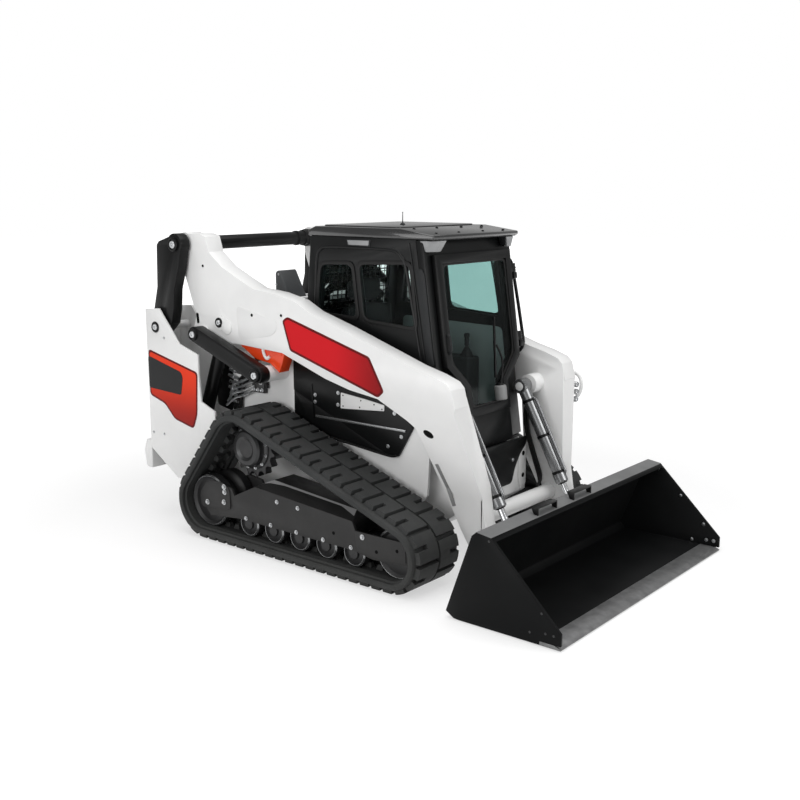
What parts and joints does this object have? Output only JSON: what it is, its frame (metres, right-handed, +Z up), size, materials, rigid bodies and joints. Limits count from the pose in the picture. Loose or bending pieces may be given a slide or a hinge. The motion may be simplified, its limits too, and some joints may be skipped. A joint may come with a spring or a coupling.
{
  "type": "compact track loader",
  "caption": "Compact track loader with an enclosed cab, rubber tracks, a vertical-path lift arm with rear links and a wide general-purpose bucket.",
  "frame": {"origin": "centre of the overall length and width, on the ground", "axes": "+X towards the bucket, +Y to the machine's left, +Z up"},
  "size_m": [3.64, 2.032, 2.202],
  "materials": {
    "white_paint": "gloss",
    "black_paint": "satin",
    "grey_paint": "satin",
    "cast_iron": "matte",
    "rubber": "matte",
    "chrome": "polished",
    "orange_paint": "gloss",
    "worn_steel": "worn",
    "dark_plastic": "matte",
    "seat_cover": "matte",
    "tinted_glass": "clear",
    "lamp_lens": "clear"
  },
  "bodies": {
    "frame": {"main_frame": "white_paint", "rear_towers": "white_paint", "side_panels": "black_paint", "engine": "cast_iron", "hood": "white_paint", "intake_box": "dark_plastic", "rear_bumper": "white_paint", "track_frames": "grey_paint", "tracks": "rubber", "sprockets": "cast_iron", "idlers": "cast_iron", "rollers": "cast_iron", "cab_right": "black_paint", "cab_left": "black_paint", "cab_rear": "black_paint", "cab_roof": "black_paint", "cab_floor": "dark_plastic", "cab_front": "black_paint", "side_glass": "tinted_glass", "rear_glass": "tinted_glass", "seat": "seat_cover", "consoles": "dark_plastic", "joysticks": "dark_plastic", "roof_lamps": "lamp_lens", "antenna": "dark_plastic", "door_guard": "black_paint", "tie_downs": "grey_paint"},
    "rear_links": {"rear_links": "black_paint"},
    "lift_arms": {"lift_arms": "white_paint", "cross_tube": "black_paint", "cross_beam": "grey_paint", "arm_brace": "orange_paint", "aux_couplers": "black_paint"},
    "control_links": {"control_links": "black_paint"},
    "lift_barrels": {"lift_barrels": "black_paint"},
    "lift_rods": {"lift_rods": "chrome"},
    "tilt_barrels": {"tilt_barrels": "grey_paint"},
    "tilt_rods": {"tilt_rods": "chrome"},
    "bucket": {"attach_plate": "white_paint", "bucket": "black_paint", "cutting_edge": "worn_steel", "bucket_steps": "black_paint"},
    "door": {"door_frame": "black_paint", "door_glass": "tinted_glass"},
    "tailgate": {"tailgate": "black_paint"}
  },
  "joints": [
    {"name": "rear_link_swing", "type": "hinge", "parent": "frame", "child": "rear_links", "pos_m": [-1.63, 0, 1.391], "axis": [0, -1, 0], "range_deg": [-12.07, 0.5]},
    {"name": "lift", "type": "hinge", "parent": "rear_links", "child": "lift_arms", "pos_m": [-1.432, 0, 1.972], "axis": [0, -1, 0], "range_deg": [0, 73.57]},
    {"name": "control_link_swing", "type": "hinge", "parent": "frame", "child": "control_links", "pos_m": [-0.659, 0, 1.146], "axis": [0, -1, 0], "range_deg": [-66.22, 0.5]},
    {"name": "lift_cylinder_swing", "type": "hinge", "parent": "frame", "child": "lift_barrels", "pos_m": [-1.41, 0, 0.61], "axis": [0, -1, 0], "range_deg": [-7.4, 0.5]},
    {"name": "lift_rod_slide", "type": "slide", "parent": "lift_barrels", "child": "lift_rods", "axis": [0.35, 0, 0.9367], "range_m": [-0.002, 0.63873]},
    {"name": "tilt", "type": "hinge", "parent": "lift_arms", "child": "bucket", "pos_m": [1, 0, 0.19], "axis": [0, 1, 0], "range_deg": [-27, 100]},
    {"name": "tilt_cylinder_swing", "type": "hinge", "parent": "lift_arms", "child": "tilt_barrels", "pos_m": [0.675, 0, 1.072], "axis": [0, -1, 0], "range_deg": [-1.59, 0.43]},
    {"name": "tilt_rod_slide", "type": "slide", "parent": "tilt_barrels", "child": "tilt_rods", "axis": [0.4727, 0, -0.8812], "range_m": [-0.05876, 0.21223]},
    {"name": "door", "type": "hinge", "parent": "frame", "child": "door", "pos_m": [0.68279, 0.442, 0.73002], "axis": [-0.1392, 0, 0.9903], "range_deg": [0, 80]},
    {"name": "tailgate", "type": "hinge", "parent": "frame", "child": "tailgate", "pos_m": [-1.77, 0.508, 1], "axis": [0, 0, -1], "range_deg": [0, 90]}
  ],
  "couplings": [
    {"joint": "rear_link_swing", "follows": "lift", "ratio": -0.1573},
    {"joint": "control_link_swing", "follows": "lift", "ratio": -0.89329},
    {"joint": "lift_cylinder_swing", "follows": "lift", "ratio": -0.093832},
    {"joint": "lift_rod_slide", "follows": "lift", "m_per_rad": 0.49586},
    {"joint": "tilt_cylinder_swing", "follows": "tilt", "ratio": -0.014453},
    {"joint": "tilt_rod_slide", "follows": "tilt", "m_per_rad": 0.12045}
  ]
}
